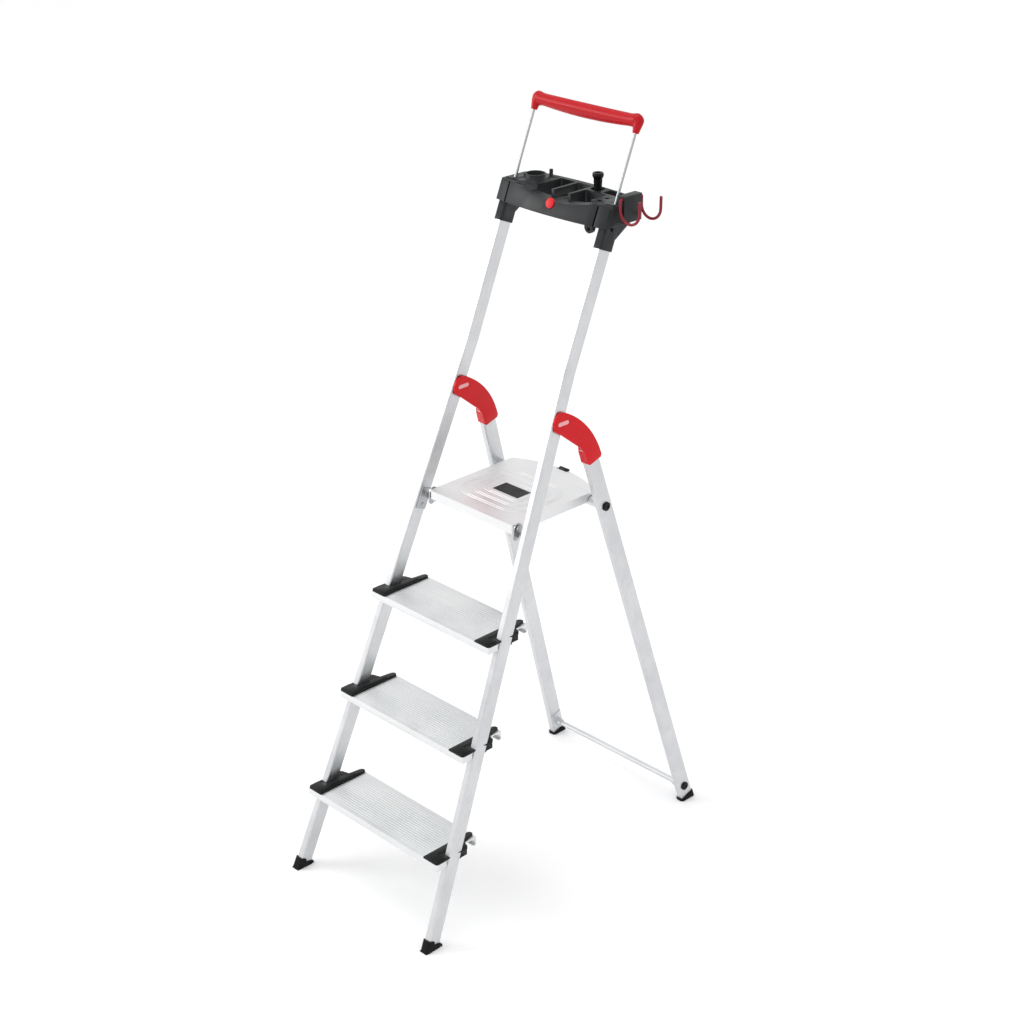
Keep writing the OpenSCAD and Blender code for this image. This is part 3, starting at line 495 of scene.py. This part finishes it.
def finish(name):
    """The named material, made when it is first asked for."""
    s = sizes()
    recipes = {
        # way the die lines run, light tone, dark tone, roughness, line spacing in mm.
        # The stiles and legs are satin anodised extrusions, each with its own slant
        "stile_aluminium": (extruded_aluminium, (LEAN, 0, 0)),
        "leg_aluminium": (extruded_aluminium, (-LEG_LEAN, 0, 0)),
        # the treads and bars are extruded too, and the deck is pressed sheet
        "tread_aluminium": (extruded_aluminium, ALONG_X, "E4E5E5", "DADCDC", 0.42, 1.2),
        "bar_aluminium": (extruded_aluminium, ALONG_X, "DCDDDE", "CACCCE", 0.38),
        "deck_aluminium": (extruded_aluminium, ALONG_X, "E8E8E8", "DEDFDF", 0.45, 1.4),
        # bright drawn steel rods and spring wire
        "drawn_steel": (extruded_aluminium, (LEAN, 0, 0), "B9BBBD", "A6A8AA", 0.3, 0.5),
        # colour, shade, roughness, gloss, grain size and grain depth in mm.
        # The housings and the grip are semi-gloss red ABS
        "red_abs": (moulded_plastic, s.red, "BE0812", 0.3, 0.18, 0.9, 0.03),
        "grip_abs": (moulded_plastic, "B80A18", "A80612", 0.34, 0.2, 0.9, 0.03),
        # the tray is dark grey ABS; caps, covers and glides are near black
        "dark_abs": (moulded_plastic, s.dark, "17191A", 0.42, 0.25),
        "black_abs": (moulded_plastic, "0B0C0C", "080909", 0.42, 0.18),
        # the tube rests are mid grey ABS, and the plain patches on the housings pale red
        "grey_abs": (moulded_plastic, "77797B", "6C6E70", 0.5),
        "pale_abs": (moulded_plastic, "E6A6A8", "DE9A9C", 0.35, 0.35, 0.9, 0.02),
        # steel wire dipped in a dark red coating
        "coated_wire": (moulded_plastic, "860A26", "74081F", 0.4, 0.35, 0.9),
        "foot_rubber": (moulded_rubber,),
        # light tone, dark tone, roughness.
        # Hinge pins and brackets are zinc plated, and the tray's screws are blackened
        "zinc_plate": (plated_steel, "C9CACB", "A9ABAD", 0.36),
        "black_screw": (plated_steel, "1E1E1F", "141415", 0.4),
    }
    if name not in FINISHES:
        maker, *values = recipes[name]
        FINISHES[name] = maker(name, *values)
    return FINISHES[name]


def paint(material, *nodes):
    """Gives carried-over CAD nodes a material."""
    for node in nodes:
        slots = NODES[node].material_slots
        for slot in slots:
            slot.material = finish(material)
        if not slots:
            NODES[node].data.materials.append(finish(material))


# ---------------------------------------------------------------- pieces


class LADDER_OT_tubes(bpy.types.Operator):
    """Finishes the stiles, legs, bars and their small metal parts"""
    bl_idname = "ladder.tubes"
    bl_label = "Tubes and bars"

    def execute(self, context):
        paint("stile_aluminium", "stile_left", "stile_right")
        paint("leg_aluminium", "leg_left", "leg_right")
        paint("bar_aluminium", "cross_tube", "crossbar", "crossbar_brackets")
        paint("zinc_plate", "hinge_pins", "latch_pin", "platform_bracket_left",
              "platform_bracket_right", "deck_pivots")
        paint("drawn_steel", "rods")
        paint("black_abs", "rod_glides")
        return {"FINISHED"}


# how far in from the end of a CAD bolt its cover is seated
COVER_SEAT = 3.4 * MM
COVER_HEIGHT = 3.0 * MM
RIVET_HEAD_RADIUS = 4.4 * MM
SCREW_HEAD_RADIUS = 4.0 * MM
# height of a head as a part of its radius
RIVET_DOME = 0.45
SCREW_DOME = 0.5
SHANK_RADIUS = 2.0 * MM
SHANK_SHORTFALL = 0.5 * MM


def domed_cap(bm, centre, out, radius, height):
    """A bolt cover: rounded rim, shallow dome and a shallow round recess."""
    rim = 0.35 * height
    turned(bm, centre, out, [
        (0, 0), (radius, 0), (radius, height - rim), (radius - 0.4 * rim, height - 0.3 * rim),
        (radius - rim, height), (0.62 * radius, 1.12 * height), (0.42 * radius, 1.12 * height),
        (0.4 * radius, 0.6 * height), (0, 0.6 * height)])


class LADDER_OT_bolts(bpy.types.Operator):
    """Makes the round bolt covers and the rivet heads"""
    bl_idname = "ladder.bolts"
    bl_label = "Bolt covers and rivets"

    def execute(self, context):
        for node, name in (("tube_bolts", "tube_bolt_covers"),
                           ("crossbar_bolts", "crossbar_bolt_covers")):
            size, middle = size_and_centre(node)
            seat = size.x / 2 - COVER_SEAT
            bm = bmesh.new()
            for side in (-1, 1):
                domed_cap(bm, (side * seat, middle.y, middle.z), (side, 0, 0), size.z / 2,
                          COVER_HEIGHT)
            put(object_from(bm, name), finish("black_abs"), "rear_frame", "dark_plastic", node)
        self.rivets("cap_rivets", "cap_rivet_heads", -1, RIVET_HEAD_RADIUS, RIVET_DOME)
        self.rivets("bracket_rivets", "bracket_rivet_heads", -1, RIVET_HEAD_RADIUS, RIVET_DOME)
        self.rivets("tray_screws", "tray_screw_heads", 1, SCREW_HEAD_RADIUS, SCREW_DOME,
                    "black_screw")
        return {"FINISHED"}

    def rivets(self, node, name, outwards, radius, dome, metal="zinc_plate"):
        """One domed rivet for each rivet of a node. Its head faces away from the ladder's
        middle where outwards is 1, and towards it where outwards is -1."""
        points, facing = [], []
        # a rivet whose head and shank are separate lumps is one box here
        found = {}
        for low, high in lumps(node):
            middle = (low + high) / 2
            key = (middle.x > 0, round(middle.y, 3), round(middle.z, 3))
            a, b = found.get(key, (low, high))
            found[key] = (Vector(map(min, a, low)), Vector(map(max, b, high)))
        length = min(high.x - low.x for low, high in found.values())
        for key, (low, high) in sorted(found.items()):
            middle = (low + high) / 2
            way = outwards if key[0] else -outwards
            face = high.x if way > 0 else low.x
            points.append((face - way * dome * radius, middle.y, middle.z))
            facing.append((way, 0, 0))
        heads = grown(name, rivet_tree(), points_mesh(name, points, facing), {
            "Head Radius": radius, "Dome": dome, "Shank Radius": SHANK_RADIUS,
            "Shank Length": length - dome * radius - SHANK_SHORTFALL,
            "Material": finish(metal)})
        put(heads, finish(metal), "front_frame", "zinc_steel", node)


RIDGE_RADIUS = 1.3 * MM
# the front of a tread has no ridges
PLAIN_BAND = 13 * MM
RIDGE_MARGIN = 3 * MM


class LADDER_OT_treads(bpy.types.Operator):
    """Finishes the treads, with ridges along their tops"""
    bl_idname = "ladder.treads"
    bl_label = "Treads"

    def execute(self, context):
        s = sizes()
        tree = ridge_tree()
        for i in (1, 2, 3):
            low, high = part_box(f"tread_{i}")
            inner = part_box(f"cap_right_{i}")[0].x
            depth = high.y - low.y
            put(softened(f"rolled_tread_{i}", [f"tread_{i}"], 1.2, 3), finish("tread_aluminium"),
                "front_frame", "aluminium_tread", f"tread_{i}")
            rows = int((depth - PLAIN_BAND - RIDGE_MARGIN) / s.ridge_pitch)
            first = low.y + PLAIN_BAND
            points = [(0, first + k * s.ridge_pitch, high.z + s.ridge_height - RIDGE_RADIUS)
                      for k in range(rows)]
            ridges = grown(f"tread_{i}_ridges", tree, points_mesh("rows", points), {
                "Length": 2 * inner - RIDGE_MARGIN, "Ridge Radius": RIDGE_RADIUS,
                "Material": finish("tread_aluminium")})
            put(ridges, finish("tread_aluminium"), "front_frame", "aluminium_tread")
        return {"FINISHED"}


class LADDER_OT_caps(bpy.types.Operator):
    """Makes the tread end caps and the feet"""
    bl_idname = "ladder.caps"
    bl_label = "End caps and feet"

    def execute(self, context):
        s = sizes()
        for side in ("left", "right"):
            for i in (1, 2, 3):
                node = f"cap_{side}_{i}"
                put(softened(f"end_{node}", [node], 0.5 * s.edge_rounding, 2),
                    finish("black_abs"), "front_frame", "dark_plastic", node)
            for end, body in (("front", "front_frame"), ("rear", "rear_frame")):
                node = f"{end}_foot_{side}"
                put(softened(f"rubber_{node}", [node], 0.8 * s.edge_rounding, 2),
                    finish("foot_rubber"), body, "foot_rubber", node)
        return {"FINISHED"}


PATCH_HALF_LENGTH = 15 * MM
PATCH_HALF_HEIGHT = 4.4 * MM
# how far behind the pin the middle of a patch is
PATCH_SHIFT = 3 * MM
# how far the cheek stands past the end of the pin
CHEEK_COVER = 1 * MM


class LADDER_OT_hinges(bpy.types.Operator):
    """Makes the red hinge housings and the plain patches on them"""
    bl_idname = "ladder.hinges"
    bl_label = "Hinge housings"

    def execute(self, context):
        s = sizes()
        for side in ("left", "right"):
            node = f"hinge_{side}"
            put(softened(f"housing_{side}", [node], 1.8 * s.edge_rounding, 4),
                finish("red_abs"), "rear_frame", "red_plastic", node)
        bm = bmesh.new()
        for side in (-1, 1):
            self.patch(bm, side)
        put(object_from(bm, "blank_patches", 50), finish("pale_abs"), "rear_frame",
            "red_plastic")
        return {"FINISHED"}

    def patch(self, bm, side):
        """A plain raised patch over the pin, on the cheek that faces +X."""
        ends = [high.x for low, high in lumps("hinge_pins")]
        pin_x = (max(ends) - min(ends)) / 2
        face = (max(ends) + min(ends)) / 2 + CHEEK_COVER
        splay = math.asin((FOOT_X - pin_x) / (HINGE.z / math.cos(LEG_LEAN)))

        def place(y, z, up):
            # the cheek follows the splay of its leg
            down_leg = math.sin(LEG_LEAN) * y - math.cos(LEG_LEAN) * z
            x = side * (pin_x + math.tan(splay) * down_leg) + face + up
            return Vector((x, HINGE.y + y, HINGE.z + z))

        ends = PATCH_HALF_LENGTH - PATCH_HALF_HEIGHT
        loops = []
        # in from the outline and up from the cheek, in mm: foot, rounded edge, top
        for inset, up in ((0, -0.6), (0, 0.3), (0.5, 0.8), (1.4, 1.0)):
            r = PATCH_HALF_HEIGHT - inset * MM
            loop = []
            for start, shift in ((-90, ends), (90, -ends)):
                for q in range(9):
                    a = math.radians(start + 22.5 * q)
                    loop.append(bm.verts.new(place(PATCH_SHIFT + shift + r * math.cos(a),
                                                   r * math.sin(a), up * MM)))
            loops.append(loop)
        faces = []
        for a, b in zip(loops, loops[1:]):
            for j in range(len(a)):
                faces.append(bm.faces.new((a[j - 1], a[j], b[j], b[j - 1])))
        faces.append(bm.faces.new(list(reversed(loops[0]))))
        faces.append(bm.faces.new(loops[-1]))
        bmesh.ops.recalc_face_normals(bm, faces=faces)


COIL_RADIUS = 3.2 * MM
COIL_WIRE = 0.55 * MM
BEAD_RADIUS = 1.6 * MM
# half width, half depth and corner radius of each raised frame on the deck, in mm
DECK_FRAMES = ((48, 30, 12), (54, 36, 15), (70, 52, 30), (76, 58, 33), (94, 76, 48),
               (100, 82, 51))


class LADDER_OT_platform(bpy.types.Operator):
    """Finishes the platform, with its embossing, blank plate and latch"""
    bl_idname = "ladder.platform"
    bl_label = "Platform"

    def execute(self, context):
        s = sizes()
        paint("deck_aluminium", "deck")
        paint("black_abs", "deck_plate")
        put(softened("tube_rests", ["tube_hooks"], 1.2 * s.edge_rounding, 3),
            finish("grey_abs"), "platform", "grey_plastic", "tube_hooks")
        put(softened("latch_paddle", ["latch_lever"], 0.6 * s.edge_rounding, 2),
            finish("black_abs"), "latch", "dark_plastic", "latch_lever")
        size, middle = size_and_centre("latch_spring")
        start = points_mesh("coil_at", [(middle.x - size.x / 2, middle.y, middle.z)])
        coil = grown("latch_coil", spring_tree(), start, {
            "Turns": float(s.spring_turns), "Coil Radius": COIL_RADIUS, "Length": size.x,
            "Wire Radius": COIL_WIRE, "Material": finish("drawn_steel")})
        put(coil, finish("drawn_steel"), "platform", "zinc_steel", "latch_spring")
        self.emboss()
        return {"FINISHED"}

    def emboss(self):
        """Raised beads: rounded frames, one inside another, around the plate."""
        plate = size_and_centre("deck_plate")[1]
        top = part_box("deck")[1].z + 0.1 * MM
        bm = bmesh.new()
        for half_w, half_d, r in DECK_FRAMES:
            path = []
            for cx, cy, start in ((1, 1, 0), (-1, 1, 90), (-1, -1, 180), (1, -1, 270)):
                for q in range(9):
                    a = math.radians(start + q * 11.25)
                    path.append(Vector((
                        plate.x + (cx * (half_w - r) + r * math.cos(a)) * MM,
                        plate.y + (cy * (half_d - r) + r * math.sin(a)) * MM, top)))
            tube(bm, path, BEAD_RADIUS, 8, closed=True, flat=0.5, up=Vector((0, 0, 1)))
        put(object_from(bm, "deck_embossing"), finish("deck_aluminium"), "platform",
            "aluminium_deck")


class LADDER_OT_tray(bpy.types.Operator):
    """Makes the tool tray, its blank disc and its post"""
    bl_idname = "ladder.tray"
    bl_label = "Tool tray"

    def execute(self, context):
        s = sizes()
        put(softened("tool_tray", ["tray"], 0.9 * s.edge_rounding, 3),
            finish("dark_abs"), "front_frame", "dark_plastic", "tray")
        put(softened("round_badge", ["tray_badge"], 0.8, 3, 60),
            finish("red_abs"), "front_frame", "red_plastic", "tray_badge")
        size, middle = size_and_centre("reel_post")
        r, h = size.x / 2, size.z
        foot = (middle.x, middle.y, middle.z - h / 2)
        # foot flange, waisted stem, then a collar with a dished top
        profile = [(0, 0), (r, 0), (r, 0.05 * h), (0.9 * r, 0.1 * h)]
        profile += [(r * (0.62 + 0.03 * math.cos(q / 4 * math.pi)), h * (0.14 + 0.62 * q / 8))
                    for q in range(9)]
        profile += [(0.66 * r, 0.8 * h), (0.8 * r, 0.86 * h), (0.85 * r, 0.9 * h),
                    (0.85 * r, 0.95 * h), (0.76 * r, h), (0.45 * r, h), (0.4 * r, 0.96 * h),
                    (0, 0.96 * h)]
        bm = bmesh.new()
        turned(bm, foot, (0, 0, 1), profile, 40)
        put(object_from(bm, "bobbin_post"), finish("black_abs"), "front_frame",
            "dark_plastic", "reel_post")
        return {"FINISHED"}


class LADDER_OT_handrail(bpy.types.Operator):
    """Makes the red grip"""
    bl_idname = "ladder.handrail"
    bl_label = "Handrail grip"

    def execute(self, context):
        s = sizes()
        put(softened("rail_grip", ["grip"], 0.8 * s.edge_rounding, 2, 50, 60),
            finish("grip_abs"), "handrail", "red_plastic", "grip")
        return {"FINISHED"}


HOOK_TIP = 25 * MM
HOOK_BEND = 5 * MM


class LADDER_OT_hook(bpy.types.Operator):
    """Makes the bent wire bucket hook"""
    bl_idname = "ladder.hook"
    bl_label = "Bucket hook"

    def execute(self, context):
        low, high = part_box("wire_hook")
        pivot = Vector(JOINTS["hook_swing"]["pos_m"])
        r = pivot.x - low.x
        x0, x1 = low.x + r, high.x - r
        bowl = (x1 - x0) / 2
        bottom = low.z + r + bowl
        y0 = low.y + r
        # one tip, its bowl and its bend onto the pivot bar, then the same mirrored
        half = [Vector((x1, y0, bottom + HOOK_TIP))]
        half += [Vector((x0 + bowl + bowl * math.cos(a), y0, bottom - bowl * math.sin(a)))
                 for a in (math.pi * q / 24 for q in range(25))]
        half += [Vector((x0, y0 + HOOK_BEND * (1 - math.cos(a)),
                         pivot.z - HOOK_BEND * (1 - math.sin(a))))
                 for a in (math.pi / 2 * q / 8 for q in range(9))]
        path = half + [Vector((p.x, 2 * pivot.y - p.y, p.z)) for p in reversed(half)]
        bm = bmesh.new()
        tube(bm, path, r, 20)
        put(object_from(bm, "bucket_hook_wire", 60), finish("coated_wire"), "bucket_hook",
            "red_wire", "wire_hook")
        return {"FINISHED"}


# ---------------------------------------------------------------- stage


CAMERA_AT = (2.7128, -2.6433, 2.5764)
CAMERA_DOWN = math.radians(25.076)
CAMERA_TURN = math.radians(45.309)
CAMERA_LENS = 69.39


def area_light(name, place, aim, size, power):
    """A round soft light that faces a point."""
    data = bpy.data.lights.new(name, "AREA")
    data.shape = "DISK"
    data.size = size
    data.energy = power
    light = bpy.data.objects.new(name, data)
    light.location = place
    light.rotation_euler = (Vector(aim) - Vector(place)).to_track_quat("-Z", "Y").to_euler()
    bpy.context.scene.collection.objects.link(light)


class LADDER_OT_stage(bpy.types.Operator):
    """Sets the floor, the soft lights and the camera"""
    bl_idname = "ladder.stage"
    bl_label = "Floor, lights and camera"

    def execute(self, context):
        scene = context.scene
        mesh = bpy.data.meshes.new("floor")
        mesh.from_pydata([(-30, -20, 0), (30, -20, 0), (30, 40, 0), (-30, 40, 0)], [],
                         [(0, 1, 2, 3)])
        floor = bpy.data.objects.new("floor", mesh)
        scene.collection.objects.link(floor)
        material, tree, shader, where = new_material("pale_floor")
        shader.inputs["Base Color"].default_value = linear("FCFCFC")
        shader.inputs["Roughness"].default_value = 0.9
        shader.inputs["Specular IOR Level"].default_value = 0.1
        mesh.materials.append(material)

        world = bpy.data.worlds.new("studio")
        world.use_nodes = True
        back = world.node_tree.nodes["Background"]
        back.inputs["Color"].default_value = linear("FBFBFC")
        back.inputs["Strength"].default_value = 1.06
        scene.world = world
        scene.view_settings.view_transform = "Standard"

        area_light("key", (-3.0, -2.4, 2.2), (0, 0, 0.9), 1.8, 45)
        area_light("top", (-0.6, -0.6, 4.2), (0, 0, 0.8), 2.0, 20)

        data = bpy.data.cameras.new("view")
        data.lens = CAMERA_LENS
        data.sensor_width = 36.0
        camera = bpy.data.objects.new("view", data)
        camera.location = CAMERA_AT
        camera.rotation_euler = (math.pi / 2 - CAMERA_DOWN, 0, CAMERA_TURN)
        scene.collection.objects.link(camera)
        scene.camera = camera
        return {"FINISHED"}


OPERATORS = (
    LADDER_OT_tubes, LADDER_OT_bolts, LADDER_OT_treads, LADDER_OT_caps, LADDER_OT_hinges,
    LADDER_OT_platform, LADDER_OT_tray, LADDER_OT_handrail, LADDER_OT_hook, LADDER_OT_stage,
)


class LADDER_PT_panel(bpy.types.Panel):
    """Lists the ladder's pieces and sizes"""
    bl_label = "Step Ladder"
    bl_idname = "LADDER_PT_panel"
    bl_space_type = "VIEW_3D"
    bl_region_type = "UI"
    bl_category = "Step Ladder"

    def draw(self, context):
        s = context.scene.ladder_sizes
        for name in ("ridge_pitch", "ridge_height", "edge_rounding", "red", "dark",
                     "spring_turns"):
            self.layout.prop(s, name)
        for operator in OPERATORS:
            self.layout.operator(operator.bl_idname)


CLASSES = (LadderSizes,) + OPERATORS + (LADDER_PT_panel,)


def register():
    for cls in CLASSES:
        bpy.utils.register_class(cls)
    bpy.types.Scene.ladder_sizes = PointerProperty(type=LadderSizes)


def unregister():
    del bpy.types.Scene.ladder_sizes
    for cls in reversed(CLASSES):
        bpy.utils.unregister_class(cls)


def main():
    register()
    for operator in OPERATORS:
        group, call = operator.bl_idname.split(".")
        getattr(getattr(bpy.ops, group), call)()


if __name__ == "__main__":
    main()
